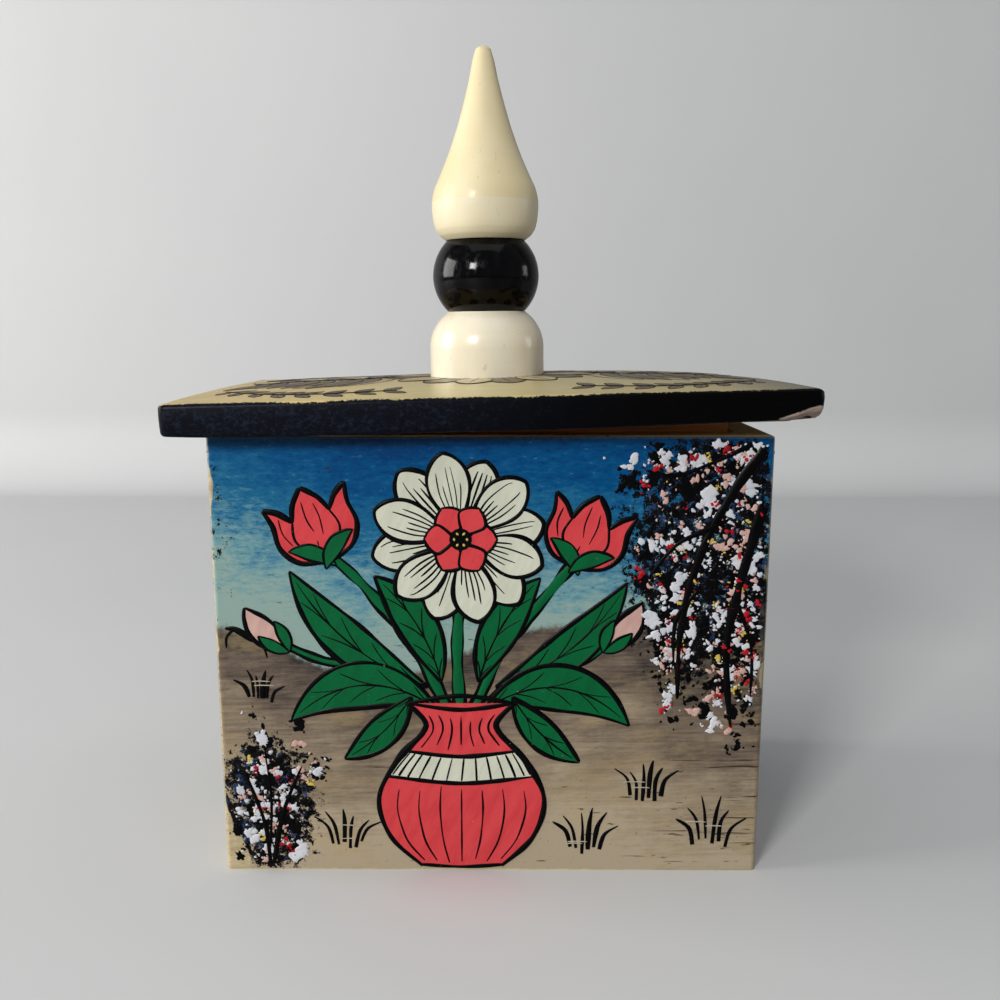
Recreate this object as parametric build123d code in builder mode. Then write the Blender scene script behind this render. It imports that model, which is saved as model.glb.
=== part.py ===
from build123d import *
from math import cos, radians, sin
import os

# A small bone trinket box: five glued panels and a loose, cambered lid with a turned finial.
# Millimetres, +X to the right seen from the front, +Y to the back, +Z up.
# The origin is the middle of the footprint, on the surface that the box stands on.

# Box panels
box_width = 64.4
box_depth = 40.0
box_height = 53.1
wall_thickness = 4.0
base_thickness = 3.5
corner_rounding = 0.6
rim_rounding = 0.3

# Lid plate: straight edges all round, and a top that swells to its middle
lid_overhang = 3.75
lid_end_overhang = 3.9
lid_edge_thickness = 3.8
lid_crown = 1.15
lid_end_crown = 0.2
lid_crown_power = 2.5
lid_sections = 5
lid_corner_rounding = 0.9
lid_edge_rounding = 0.5

# The lid lies askew: it touches the left rim, and its board holds it up at the right
lid_tilt_degrees = 1.6

# Chip broken from the lid's lower front right corner, measured along each edge
chip_along_width = 5.4
chip_along_depth = 2.0
chip_along_height = 1.6

# Board under the lid that drops into the mouth of the box
board_thickness = 3.0
board_clearance = 0.5
board_chamfer = 0.4

# Finial: two beads and a spire, threaded on a dowel that stands in the lid
finial_offset = -0.5
finial_lean_degrees = 0.6
dowel_radius = 1.5
glue_gap = 0.05
dowel_end_gap = 0.4
socket_depth = 9.0

foot_radius = 7.4
foot_straight_height = 3.35
foot_neck_radius = 5.2
foot_height = 8.15
foot_seat_depth = 1.0

bead_end_radius = 5.1
bead_middle_radius = 6.8
bead_height = 8.95

spire_base_radius = 5.2
spire_shoulder_radius = 6.6
spire_shoulder_height = 2.2
spire_arris_radius = 6.78
spire_arris_height = 4.65
spire_height = 23.45
spire_hollow = 0.4
spire_tip_radius = 1.0

# Sizes that follow from those above
inner_width = box_width - 2 * wall_thickness
inner_depth = box_depth - 2 * wall_thickness
lid_width = box_width + 2 * lid_end_overhang
lid_depth = box_depth + 2 * lid_overhang
lid_middle_thickness = lid_edge_thickness + lid_crown
bore_radius = dowel_radius + glue_gap

# The lid's plane is its underside, turned about the outer top edge of the left panel
tilt = radians(lid_tilt_degrees)
lid_plane = Plane(
    origin=((cos(tilt) - 1) * box_width / 2, 0, box_height + sin(tilt) * box_width / 2),
    x_dir=(cos(tilt), 0, sin(tilt)),
    z_dir=(-sin(tilt), 0, cos(tilt)),
)
lid_axis = Axis(lid_plane.origin, lid_plane.z_dir)

# The finial's plane touches the top of the lid, and its axis leans a little to the left
lean = radians(finial_lean_degrees)
finial_plane = Plane(
    origin=lid_plane.from_local_coords((finial_offset, 0, lid_middle_thickness)),
    x_dir=(cos(lean), 0, sin(lean)),
    z_dir=(-sin(lean), 0, cos(lean)),
)
finial_axis = Axis(finial_plane.origin, finial_plane.z_dir)


def profile_plane(height):
    """Plane of a half profile: x is the radius and y the height above this point of the axis."""
    start = finial_plane.offset(height)
    return Plane(origin=start.origin, x_dir=start.x_dir, z_dir=-start.y_dir)


def lid_section_plane(distance):
    """Upright plane across the lid, at this distance to the right of its middle."""
    return Plane(
        origin=lid_plane.from_local_coords((distance, 0, 0)),
        x_dir=lid_plane.y_dir,
        z_dir=lid_plane.x_dir,
    )


def lid_rise(share):
    """Rise of the lid's top above its edges, at this share of the way from middle to end."""
    return lid_end_crown + (lid_crown - lid_end_crown) * (1 - abs(share) ** lid_crown_power)


def finish(piece, name):
    """Name a finished piece and write its file."""
    piece.part.label = name
    export_step(piece.part, f"parts/{name}.step")


os.makedirs("parts", exist_ok=True)

# Front and back panels: full width, so that they cover the ends of the side panels
for name, side in (("front_panel", -1), ("back_panel", 1)):
    with BuildPart() as long_panel:
        with BuildSketch(Plane.XY):
            with Locations((0, side * (box_depth - wall_thickness) / 2)):
                Rectangle(box_width, wall_thickness)
        extrude(amount=box_height)
        outward = Axis((0, 0, 0), (0, side, 0))
        fillet(long_panel.edges().filter_by(Axis.Z).group_by(outward)[-1], corner_rounding)
        fillet(long_panel.faces().sort_by(Axis.Z)[-1].edges(), rim_rounding)
    finish(long_panel, name)

# Left and right panels, between the front and the back
for name, side in (("left_panel", -1), ("right_panel", 1)):
    with BuildPart() as side_panel:
        with BuildSketch(Plane.XY):
            with Locations((side * (box_width - wall_thickness) / 2, 0)):
                Rectangle(wall_thickness, inner_depth)
        extrude(amount=box_height)
        fillet(side_panel.edges().filter_by(Axis.Y).group_by(Axis.Z)[-1], rim_rounding)
    finish(side_panel, name)

# Base panel, glued in between the four uprights and flush with them underneath
with BuildPart() as base_panel:
    with BuildSketch(Plane.XY):
        Rectangle(inner_width, inner_depth)
    extrude(amount=base_thickness)
finish(base_panel, "base_panel")

# Lid plate, lofted along its length through sections with a rounded top
with BuildPart() as lid_plate:
    for step in range(lid_sections):
        share = 2 * step / (lid_sections - 1) - 1
        with BuildSketch(lid_section_plane(share * lid_width / 2)):
            with BuildLine():
                Polyline(
                    (-lid_depth / 2, lid_edge_thickness),
                    (-lid_depth / 2, 0),
                    (lid_depth / 2, 0),
                    (lid_depth / 2, lid_edge_thickness),
                )
                ThreePointArc(
                    (lid_depth / 2, lid_edge_thickness),
                    (0, lid_edge_thickness + lid_rise(share)),
                    (-lid_depth / 2, lid_edge_thickness),
                )
            make_face()
    loft()
    # The shortest edges are the four upright corners
    fillet(lid_plate.edges().group_by(SortBy.LENGTH)[0], lid_corner_rounding)
    fillet(lid_plate.faces().sort_by(lid_axis)[-1].edges(), lid_edge_rounding)
    fillet(lid_plate.faces().sort_by(lid_axis)[0].edges(), lid_edge_rounding)
    # The dowel's hole goes right through
    with BuildSketch(finial_plane.offset(foot_seat_depth)):
        Circle(bore_radius)
    extrude(amount=-2 * (foot_seat_depth + lid_middle_thickness), mode=Mode.SUBTRACT)
    # The chip leaves a slanted face between three points on the corner's edges
    on_width, on_depth, on_height = (
        lid_plane.from_local_coords((lid_width / 2 - along_x, along_y - lid_depth / 2, along_z))
        for along_x, along_y, along_z in (
            (chip_along_width, 0, 0), (0, chip_along_depth, 0), (0, 0, chip_along_height)
        )
    )
    chip_normal = (on_depth - on_width).cross(on_height - on_width)
    with BuildSketch(Plane(origin=on_width, z_dir=chip_normal)):
        Circle(2 * chip_along_width)
    extrude(amount=chip_along_width, mode=Mode.SUBTRACT)
finish(lid_plate, "lid_plate")

# Board glued under the lid, small enough to drop into the mouth at this tilt
with BuildPart() as lid_locating_board:
    with BuildSketch(lid_plane):
        Rectangle(inner_width - 2 * board_clearance, inner_depth - 2 * board_clearance)
    extrude(amount=-board_thickness)
    chamfer(lid_locating_board.faces().sort_by(Axis.Z)[0].edges(), board_chamfer)
finish(lid_locating_board, "lid_locating_board")

# Foot bead: straight below and domed above, its underside cut to the lid's swelling top
with BuildPart() as finial_foot_bead:
    with BuildSketch(profile_plane(0)):
        with BuildLine():
            Polyline(
                (0, -foot_seat_depth),
                (foot_radius, -foot_seat_depth),
                (foot_radius, foot_straight_height),
            )
            TangentArc(
                (foot_radius, foot_straight_height), (foot_neck_radius, foot_height), tangent=(0, 1)
            )
            Polyline((foot_neck_radius, foot_height), (0, foot_height), (0, -foot_seat_depth))
        make_face()
    revolve(axis=finial_axis)
    with BuildSketch(finial_plane.offset(foot_height)):
        Circle(bore_radius)
    extrude(amount=-(foot_height + foot_seat_depth), mode=Mode.SUBTRACT)
    add(lid_plate.part, mode=Mode.SUBTRACT)
finish(finial_foot_bead, "finial_foot_bead")

# Black bead: a flattened ball with a flat at each end
with BuildPart() as finial_black_bead:
    with BuildSketch(profile_plane(foot_height)):
        with BuildLine():
            Polyline((bead_end_radius, 0), (0, 0), (0, bead_height), (bead_end_radius, bead_height))
            ThreePointArc(
                (bead_end_radius, bead_height), (bead_middle_radius, bead_height / 2), (bead_end_radius, 0)
            )
        make_face()
    revolve(axis=finial_axis)
    with BuildSketch(finial_plane.offset(foot_height)):
        Circle(bore_radius)
    extrude(amount=bead_height, mode=Mode.SUBTRACT)
finish(finial_black_bead, "finial_black_bead")

# Spire: a rounded shoulder, an arris above it, and a slightly hollow cone with a rounded tip
with BuildPart() as finial_spire:
    tip_height = spire_height - spire_tip_radius
    with BuildSketch(profile_plane(foot_height + bead_height)):
        with BuildLine():
            Polyline((0, spire_height), (0, 0), (spire_base_radius, 0))
            ThreePointArc(
                (spire_base_radius, 0),
                (spire_shoulder_radius, spire_shoulder_height),
                (spire_arris_radius, spire_arris_height),
            )
            ThreePointArc(
                (spire_arris_radius, spire_arris_height),
                (
                    (spire_arris_radius + spire_tip_radius) / 2 - spire_hollow,
                    (spire_arris_height + tip_height) / 2,
                ),
                (spire_tip_radius, tip_height),
            )
            TangentArc((spire_tip_radius, tip_height), (0, spire_height), tangent=(0, 1))
        make_face()
    revolve(axis=finial_axis)
    with BuildSketch(finial_plane.offset(foot_height + bead_height)):
        Circle(bore_radius)
    extrude(amount=socket_depth, mode=Mode.SUBTRACT)
finish(finial_spire, "finial_spire")

# Dowel, from just inside the lid's underside to just short of the end of the spire's socket
with BuildPart() as finial_dowel:
    with BuildSketch(finial_plane.offset(dowel_end_gap - lid_middle_thickness)):
        Circle(dowel_radius)
    extrude(amount=lid_middle_thickness + foot_height + bead_height + socket_depth - 2 * dowel_end_gap)
finish(finial_dowel, "finial_dowel")
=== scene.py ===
import bpy
import random
from itertools import count
from math import atan2, ceil, cos, pi, radians, sin, sqrt
from mathutils import Matrix, Vector, noise
from mathutils.geometry import tessellate_polygon


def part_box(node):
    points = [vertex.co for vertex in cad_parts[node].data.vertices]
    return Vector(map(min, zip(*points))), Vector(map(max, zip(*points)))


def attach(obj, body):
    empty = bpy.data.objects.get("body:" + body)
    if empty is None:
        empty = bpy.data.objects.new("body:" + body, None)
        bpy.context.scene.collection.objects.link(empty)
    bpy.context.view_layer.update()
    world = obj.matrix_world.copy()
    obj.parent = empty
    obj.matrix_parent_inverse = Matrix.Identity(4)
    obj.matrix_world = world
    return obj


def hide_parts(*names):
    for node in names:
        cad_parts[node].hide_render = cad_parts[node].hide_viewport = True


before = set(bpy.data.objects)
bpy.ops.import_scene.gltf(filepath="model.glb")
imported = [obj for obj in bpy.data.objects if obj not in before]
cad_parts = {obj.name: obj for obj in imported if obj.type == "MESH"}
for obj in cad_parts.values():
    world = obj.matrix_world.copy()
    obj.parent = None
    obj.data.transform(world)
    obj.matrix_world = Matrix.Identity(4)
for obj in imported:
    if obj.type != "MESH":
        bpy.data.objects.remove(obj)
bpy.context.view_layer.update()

mm = 0.001

# The box in millimetres, as model.glb has it
panelLow, panelHigh = (Vector(corner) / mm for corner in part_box("front_panel"))
halfWidth = panelHigh.x
halfDepth = -panelLow.y
rimHeight = panelHigh.z
scene = bpy.context.scene


def newObject(name, data):
    made = bpy.data.objects.new(name, data)
    scene.collection.objects.link(made)
    return made


# Camera, level with the middle of the finial's foot and a hand's breadth in front of the box
view = {
    "place": (1.65, -132.16, 65.74),  # millimetres
    "pitchDown": 10.09,  # degrees
    "yawLeft": 0.27,
    "lens": 36,
}
lens = bpy.data.cameras.new("viewLens")
lens.lens = view["lens"]
lens.clip_start = 0.005
lens.clip_end = 20
camera = newObject("viewCamera", lens)
camera.location = Vector(view["place"]) * mm
camera.rotation_euler = (radians(90 - view["pitchDown"]), 0, radians(view["yawLeft"]))
scene.camera = camera
scene.view_settings.view_transform = "Standard"
print("camera set")


# A colour as it is seen, 0 to 255, turned into the shader's own numbers
def seen(colour):
    shares = [value / 255 for value in colour]
    return [s / 12.92 if s <= 0.04045 else ((s + 0.055) / 1.055) ** 2.4 for s in shares] + [1]


# The helpers below add their nodes to the finish that was begun last
mixing = {}


def newFinish(name):
    finish = bpy.data.materials.new(name)
    finish.use_nodes = True
    finish.node_tree.nodes.clear()
    mixing.update(finish=finish, tree=finish.node_tree)


# One shader node: sockets are given by name or place, and hold a value or another node's output
def add(kind, sockets=None, **settings):
    node = mixing["tree"].nodes.new("ShaderNode" + kind)
    for key, value in settings.items():
        setattr(node, key, value)
    for key, value in (sockets or {}).items():
        if isinstance(value, bpy.types.NodeSocket):
            mixing["tree"].links.new(value, node.inputs[key])
        else:
            node.inputs[key].default_value = value
    return node.outputs


def sums(operation, *terms):
    return add("Math", dict(enumerate(terms)), operation=operation)[0]


def plus(total, *terms):
    for term in terms:
        total = sums("ADD", total, term)
    return total


def minus(first, second):
    return sums("SUBTRACT", first, second)


def times(first, second, more=0):
    return sums("MULTIPLY_ADD", first, second, more)


# Noise about zero, as far up as down
def sway(lumps, swing):
    return times(lumps, swing, -swing / 2)


def larger(first, second):
    return sums("MAXIMUM", first, second)


def smaller(first, second):
    return sums("MINIMUM", first, second)


# Rises smoothly from start to end as the value goes from low to high
def rise(value, low, high, start=0, end=1):
    sockets = {"Value": value, "From Min": low, "From Max": high, "To Min": start, "To Max": end}
    return add("MapRange", sockets, interpolation_type="SMOOTHSTEP")[0]


def mixed(share, under, over):
    under, over = (seen(shade) if isinstance(shade, tuple) else shade for shade in (under, over))
    return add("Mix", {0: share, 6: under, 7: over}, data_type="RGBA")[2]


# Colours over one another, each more and more as its value goes from low to high
def laid(shade, *layers):
    for over, value, low, high, *most in layers:
        shade = mixed(rise(value, low, high, 0, *(most or [1])), shade, over)
    return shade


# The place on the piece in millimetres, turned, moved and stretched as the grain needs
def placeOn(turn=(0, 0, 0), start=(0, 0, 0), stretch=(1, 1, 1)):
    return add("Mapping", {
        "Vector": add("TexCoord")["Object"],
        "Location": [value * mm for value in start],
        "Rotation": [radians(value) for value in turn],
        "Scale": [value * mm for value in stretch],
    }, vector_type="TEXTURE")[0]


def grain(scale, detail=2, roughness=0.5, distortion=0, **where):
    return add("TexNoise", {
        "Vector": placeOn(**where), "Scale": scale, "Detail": detail,
        "Roughness": roughness, "Distortion": distortion,
    })["Fac"]


def ramp(share, stops):
    node = mixing["tree"].nodes.new("ShaderNodeValToRGB")
    band = node.color_ramp.elements
    while len(band) < len(stops):
        band.new(0.5)
    for element, (at, shade) in zip(band, stops):
        element.position = at
        element.color = seen(shade)
    mixing["tree"].links.new(share, node.inputs[0])
    return node.outputs[0]


# The shader that ends each finish; whatever is the same all over is set on its own sockets
def surface(shade, roughness, relief=None, depth=0.05, gloss=0.5, coat=0, coatRoughness=0.1):
    sockets = {
        "Base Color": shade, "Roughness": roughness, "Specular IOR Level": gloss,
        "Coat Weight": coat, "Coat Roughness": coatRoughness,
    }
    if relief is not None:
        sockets["Normal"] = add("Bump", {"Height": relief, "Distance": depth * mm, "Strength": 1})[0]
    add("OutputMaterial", {"Surface": add("BsdfPrincipled", sockets)[0]})
    return mixing["finish"]


# Painted panels: sky over a rolling hill on the outside, and bare lacquered bone everywhere else
panelLook = {
    "crestHeight": 31.5,
    # Waves of the crest: along x or y, turns per mm, start, height
    "crestWaves": ((0, 0.075, -0.6, 4), (0, 0.19, 1, 1.5), (1, 0.11, 0.4, 1.6)),
    "skyStops": (
        (0, (150, 176, 168)), (0.22, (110, 158, 168)), (0.46, (34, 110, 150)),
        (0.74, (0, 82, 136)), (1, (0, 60, 116)),
    ),
    "skyDepth": 24,
    "groundStops": (
        (0, (184, 168, 142)), (0.3, (160, 144, 120)), (0.6, (124, 109, 94)),
        (0.82, (92, 81, 72)), (1, (58, 55, 54)),
    ),
    "bareBone": (220, 204, 164),
    "dullBone": (176, 152, 112),
    # painted shade that greys the bare bone towards the right corner
    "greyShadeBone": (150, 138, 118),
    "amber": (150, 90, 34),
    "paleAmber": (204, 168, 104),
    "pores": (48, 34, 26),
    # Dabs of a sponge under the blossom: colour, start and scale of the noise, plenty, threshold
    "sponges": (
        ((9, 9, 12), (3, 5, 7), 0.95, 0.26, 0.67),
        ((38, 62, 98), (31, 5, 57), 0.75, 0.2, 0.74),
        ((206, 206, 204), (13, 85, 17), 0.8, 0.17, 0.75),
    ),
    "spongePatches": (  # middle and reach of each patch
        ((25, -20, 40), (14, 5, 21)), ((-27, -20, 8), (9, 5, 13)), ((32, -12, 43), (5, 11, 20)),
        ((-32, -12, 43), (5, 11, 20)), ((-18, 20, 38), (17, 5, 19)),
    ),
    "wornEdge": 0.12,  # bare strip along the upright corners
    "wornEdgeLeft": 0.12,  # and how much wider it is at the left
    "wornFoot": (3.4, 9),  # the rubbed corner at the bottom left: its reach along x and z
}


def crestAt(*place):
    height = panelLook["crestHeight"]
    for axis, turns, start, swing in panelLook["crestWaves"]:
        height += swing * sin(turns * place[axis] + start)
    return height


def makePaintedPanel():
    newFinish("paintedPanel")
    look, place = panelLook, placeOn()
    x, y, z = add("SeparateXYZ", {0: place})
    blotches = grain(0.16, 4, 0.6)
    fine = grain(1.4, 5, 0.65)
    # How far this spot lies above the hill's crest
    crest = look["crestHeight"]
    for axis, turns, start, swing in look["crestWaves"]:
        crest = times(sums("SINE", times((x, y)[axis], turns, start)), swing, crest)
    above = plus(minus(z, crest), sway(fine, 1.8))
    # Sky, pale over the crest and deep at the rim, dabbed on in short level strokes, and paler towards
    # the left as painted light from that side
    dabs = grain(0.6, 6, 0.75, stretch=(5, 5, 0.8))
    flecks = grain(1.7, 5, 0.8, stretch=(2.4, 2.4, 0.9))
    sky = ramp(plus(
        times(above, 1 / look["skyDepth"]), times(dabs, 0.62), times(blotches, 0.35, -0.47),
        sway(flecks, 0.9), rise(x, 14, -16, 0, -0.24),
    ), look["skyStops"])
    sky = laid(sky, ((2, 46, 90), flecks, 0.6, 0.68, 0.5), ((120, 172, 190), flecks, 0.37, 0.31, 0.35))
    # Ground, dark under the crest, with streaks that follow the bone and the brush; painted shade
    # darkens it towards the right edge, and it is a little paler towards the bottom
    streaks = grain(0.9, 8, 0.8, 0.5, turn=(0, -9, 0), stretch=(11, 11, 1.2))
    fibres = grain(0.9, 5, 0.75, stretch=(12, 12, 0.3))
    stains = grain(0.3, 6, 0.7, start=(9, 3, 5), stretch=(3, 3, 1.4))
    ground = ramp(plus(
        sums("DIVIDE", z, crest), times(streaks, 0.95, -0.5), times(blotches, 0.8, -0.48),
        sway(fibres, 0.7), sway(stains, 0.9), rise(x, 12, 32, 0, 0.3), rise(z, 13, 3, 0, -0.12),
    ), look["groundStops"])
    picture = laid(
        ground, ((192, 168, 124), stains, 0.5, 0.64, 0.35), ((78, 60, 44), fine, 0.6, 0.72, 0.35),
        (sky, above, -0.5, 0.5),
    )
    # Short dark pores along the bone, most of them low down and to the right
    below = rise(above, -4, -12)
    patchy = times(rise(x, -14, 20), rise(grain(0.2, stretch=(4, 4, 2.4)), 0.44, 0.56))
    spots = grain(0.8, 3, 0.6, start=(2, 7, 4), stretch=(2.2, 2.2, 0.42))
    spots = times(times(patchy, below), 0.05, spots)
    cracks = grain(0.8, 3, 0.6, start=(4, 1, 9), stretch=(13, 13, 0.36))
    cracks = times(times(rise(x, 20, 31), below), 0.1, cracks)
    pores = larger(rise(spots, 0.69, 0.75, 0, 0.75), rise(cracks, 0.7, 0.75, 0, 0.85))
    picture = mixed(pores, picture, look["pores"])
    density = 0
    for middle, reach in look["spongePatches"]:
        offset = add("VectorMath", {0: place, 1: middle}, operation="SUBTRACT")[0]
        share = add("VectorMath", {0: offset, 1: reach}, operation="DIVIDE")[0]
        distance = add("VectorMath", {0: share}, operation="LENGTH")["Value"]
        density = larger(rise(distance, 1.05, 0.4), density)
    for colour, start, scale, plenty, threshold in look["sponges"]:
        lumps = times(density, plenty, grain(scale, 6, 0.78, start=start))
        picture = laid(picture, (colour, lumps, threshold, threshold + 0.025))
    # The outer skin is painted, short of the worn corners, and the rest stays bare
    fromFront = minus(halfDepth, sums("ABSOLUTE", y))
    fromSide = minus(halfWidth, sums("ABSOLUTE", x))
    skinDepth = smaller(fromFront, fromSide)
    ragged = grain(0.5, 4, 0.6, stretch=(2, 2, 5))
    footReach, footHeight = look["wornFoot"]
    worn = plus(
        rise(x, 20, -20, look["wornEdge"], look["wornEdge"] + look["wornEdgeLeft"]),
        rise(ragged, 0.5, 0.72, 0, 0.8), sway(fine, 0.5),
        times(rise(z, footHeight, 0, 0, footReach), rise(x, -20, -halfWidth)),
    )
    bare = rise(minus(larger(fromFront, fromSide), worn), 0.12, -0.12, 0, 0.85)
    bare = larger(bare, rise(skinDepth, 0.12, 0.18))
    bare = larger(bare, rise(plus(z, sway(fine, -0.5)), 0.2, 0.12))
    # The sky deepens to navy in its top 1.8 mm, partly the painting's own darker top and partly painted
    # shadow of the lid's overhang; a slate line runs along the top edge
    fromTop = minus(rimHeight, times(fine, 0.5, z))
    picture = laid(
        picture, ((0, 16, 40), fromTop, 1.8, 0.1, 0.5), ((66, 74, 84), fromTop, 0.1, -0.05, 0.8),
    )
    # Bare bone, greyed towards the right corner by painted shade
    bone = laid(
        look["bareBone"], (look["dullBone"], streaks, 0.3, 0.75), (look["pores"], fine, 0.6, 0.7),
        (look["greyShadeBone"], x, 10, 30, 0.6),
    )
    amber = laid(
        look["amber"], (look["paleAmber"], x, 12, 29), (look["pores"], fine, 0.4, 0.64, 0.3),
    )
    rimOrInside = rise(skinDepth, 0.32, 0.6)
    stained = rise(z, rimHeight - 18, rimHeight - 1, 0.25, 0.85)
    bone = mixed(times(rimOrInside, stained), bone, amber)
    roughness = larger(rise(fine, 0.3, 0.7, 0.24, 0.38), times(rimOrInside, 0.6))
    relief = times(pores, -1, times(streaks, 0.3, fine))
    return surface(mixed(bare, picture, bone), roughness, relief, 0.02, 0.12, 0.02)


# Plain bone for the base panel
def makeBareBone():
    newFinish("bareBone")
    fibres = grain(0.9, 6, 0.65, 0.5, stretch=(8, 1, 1))
    specks = grain(3, 3)
    shade = laid(
        (214, 194, 154), ((176, 150, 108), fibres, 0.3, 0.72), ((96, 72, 50), specks, 0.68, 0.76),
    )
    return surface(shade, rise(fibres, 0.3, 0.7, 0.35, 0.5), fibres, 0.06)


# The board under the lid and the dowel, wood under amber lacquer
def makeWood(name, pale, dark, along):
    newFinish(name)
    fibres = grain(1.1, 5, 0.6, 0.6, stretch=along)
    shade = laid(pale, (dark, fibres, 0.32, 0.7))
    return surface(shade, rise(fibres, 0.3, 0.7, 0.35, 0.5), fibres, 0.05)


# Turned bone of the finial's foot and spire, with the faint rings that the tool leaves
def makeTurnedBone(name, pale, warm, arrisHeight, gloss, smooth):
    newFinish(name)
    rings = grain(1.6, stretch=(60, 60, 1))
    clouds = grain(0.16, stretch=(1, 1, 4))
    specks = grain(1.6, stretch=(1, 1, 2.5))
    height = add("SeparateXYZ", {0: placeOn()})[2]
    # Under its arris the spire is painted paler, a painted sheen on the band below the crease
    shade = laid(
        pale, (warm, clouds, 0.3, 0.7), ((214, 192, 150), rings, 0.4, 0.7, 0.06),
        ((184, 156, 116), specks, 0.66, 0.76, 0.3),
        ((241, 232, 205), height, arrisHeight + 0.12, arrisHeight - 0.12, 0.6),
    )
    roughness = rise(specks, 0.3, 0.7, smooth, smooth + 0.08)
    return surface(shade, roughness, rings, 0.003, gloss, gloss / 3)


def makeBlackBone():
    newFinish("blackBone")
    smears = grain(0.6, 6, 0.75, stretch=(1, 1, 1.6))
    shade = laid((0, 0, 1), ((5, 5, 7), smears, 0.45, 0.7))
    return surface(shade, rise(smears, 0.46, 0.62, 0.07, 0.3), smears, 0.02, 0.14, 0.16, 0.04)


# Enamel paints, laid on in thin glossy coats that show the brush
def makeEnamel(name, thin, thick, roughness, streak=(1, 1, 4), gloss=0.14):
    newFinish(name)
    brush = grain(0.7, 5, 0.65, turn=(0, 24, 0), stretch=streak)
    shade = laid(thin, (thick, brush, 0.3, 0.72), ((226, 222, 206), grain(2.6, 3, 0.6), 0.7, 0.78, 0.3))
    spread = rise(brush, 0.3, 0.7, roughness - 0.05, roughness + 0.08)
    return surface(shade, spread, brush, 0.015, gloss, gloss / 4)


# Paints: thin shade, thick shade, roughness, and then how the brush streaks and the gloss
paints = {
    "black": ((2, 2, 4), (8, 8, 10), 0.34, (1, 1, 4), 0.08),
    "green": ((2, 106, 58), (2, 92, 50), 0.3),
    "coral": ((230, 78, 82), (216, 64, 70), 0.3),
    "snow": ((226, 227, 231), (200, 204, 213), 0.36),
    "white": ((226, 227, 208), (208, 212, 190), 0.32),
    "pink": ((220, 182, 170), (202, 160, 150), 0.3),
    "red": ((192, 28, 38), (158, 14, 26), 0.3),
    "yellow": ((220, 198, 104), (200, 172, 74), 0.3),
    "wash": ((124, 106, 74), (88, 74, 50), 0.3, (4, 1, 1)),
    "pale": ((198, 184, 142), (172, 156, 112), 0.3, (4, 1, 1)),
    "scratch": ((200, 190, 172), (176, 164, 144), 0.5),
}
# Paints without a slot of their own name
enamels = {colour: makeEnamel(colour + "Enamel", *recipe) for colour, recipe in paints.items()}


def dress(finish, *nodes):
    for node in nodes:
        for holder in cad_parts[node].material_slots:
            holder.material = finish


dress(makePaintedPanel(), "front_panel", "back_panel", "left_panel", "right_panel")
dress(makeBareBone(), "base_panel")
dress(makeWood("boardWood", (216, 134, 46), (156, 84, 22), (12, 1, 1)), "lid_locating_board")
dress(makeWood("dowelWood", (196, 160, 112), (160, 120, 76), (1, 1, 12)), "finial_dowel")
print("finishes mixed")


def newMesh(name, points, faces, finish):
    mesh = bpy.data.meshes.new(name)
    mesh.from_pydata(points, [], faces)
    mesh.materials.append(finish)
    mesh.polygons.foreach_set("use_smooth", [True] * len(mesh.polygons))
    mesh.validate()
    return newObject(name, mesh)


def makePiece(name, points, faces, finish, body):
    piece = newMesh(name, [Vector(point) * mm for point in points], faces, finish)
    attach(piece, body)
    return piece


# Quads that join rings of equally many points, each ring listed after the one before
def joined(rings, size, base=0, flip=False):
    faces = []
    for here in range(base, base + (rings - 1) * size, size):
        for step in range(size):
            after = (step + 1) % size
            a, b, c, d = here + step, here + after, here + size + after, here + size + step
            faces.append((a, d, c, b) if flip else (a, b, c, d))
    return faces


def toward(angle):
    return Vector((cos(angle), sin(angle)))


# Lid: sizes in millimetres on its own tilted plane, whose zero is the middle of its underside
lid = {
    "tilt": 1.6,  # degrees, low at the left
    "overhang": (3.9, 3.75),  # past the ends and past the long sides
    "edgeThickness": 3.8,
    "edgeDrift": 0.1,  # so much thicker at the left end, and thinner at the right
    "crown": 1.15,
    "endCrown": 0.2,
    "crownPower": 2.5,
    "cornerRounding": 0.9,
    "edgeRounding": 0.5,
    "bulge": 0.07,  # how far the long edges swell outward half way up
    "endSwell": (0.1, 0.5),  # and the left and the right end
    "fullestLevel": 0.75,  # where they swell most, as a share of the height
    "endZone": 2.5,
    "blackMargin": 0.25,  # how far the black edge comes in over the top, past the middle of the arris
    "blackUnder": 0.45,  # and how much further under the plate
    "endTaper": ((0.37, 7), (0.4, 2)),  # rise of the lower arris at each end, and how late it comes
    "warp": 1.1,  # how much lower the rear right corner hangs
    "chip": (5.9, 2.2, 1.8),
    "wobble": 0.07,  # unevenness of the hand-cut edge
    "spacing": 0.6,  # between points round the edge
    "ringsOnTop": 26,
}
lidTilt = radians(lid["tilt"])
lidHalf = Vector((halfWidth, halfDepth)) + Vector(lid["overhang"])
lidOrigin = Vector(((cos(lidTilt) - 1) * halfWidth, 0, rimHeight + sin(lidTilt) * halfWidth))


def lidTop(x, y):
    swell = 1 - min(1, abs(x / lidHalf.x)) ** lid["crownPower"]
    crown = lid["endCrown"] + (lid["crown"] - lid["endCrown"]) * swell
    edge = lid["edgeThickness"] - lid["edgeDrift"] * x / lidHalf.x
    return edge + crown * (1 - min(1, abs(y / lidHalf.y)) ** 2)


def onLid(x, y, z):
    z -= lid["warp"] * max(0, x / lidHalf.x) ** 3 * (1 + y / lidHalf.y) / 2
    alongX, alongZ = x * cos(lidTilt) - z * sin(lidTilt), x * sin(lidTilt) + z * cos(lidTilt)
    return lidOrigin + Vector((alongX, y, alongZ))


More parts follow.
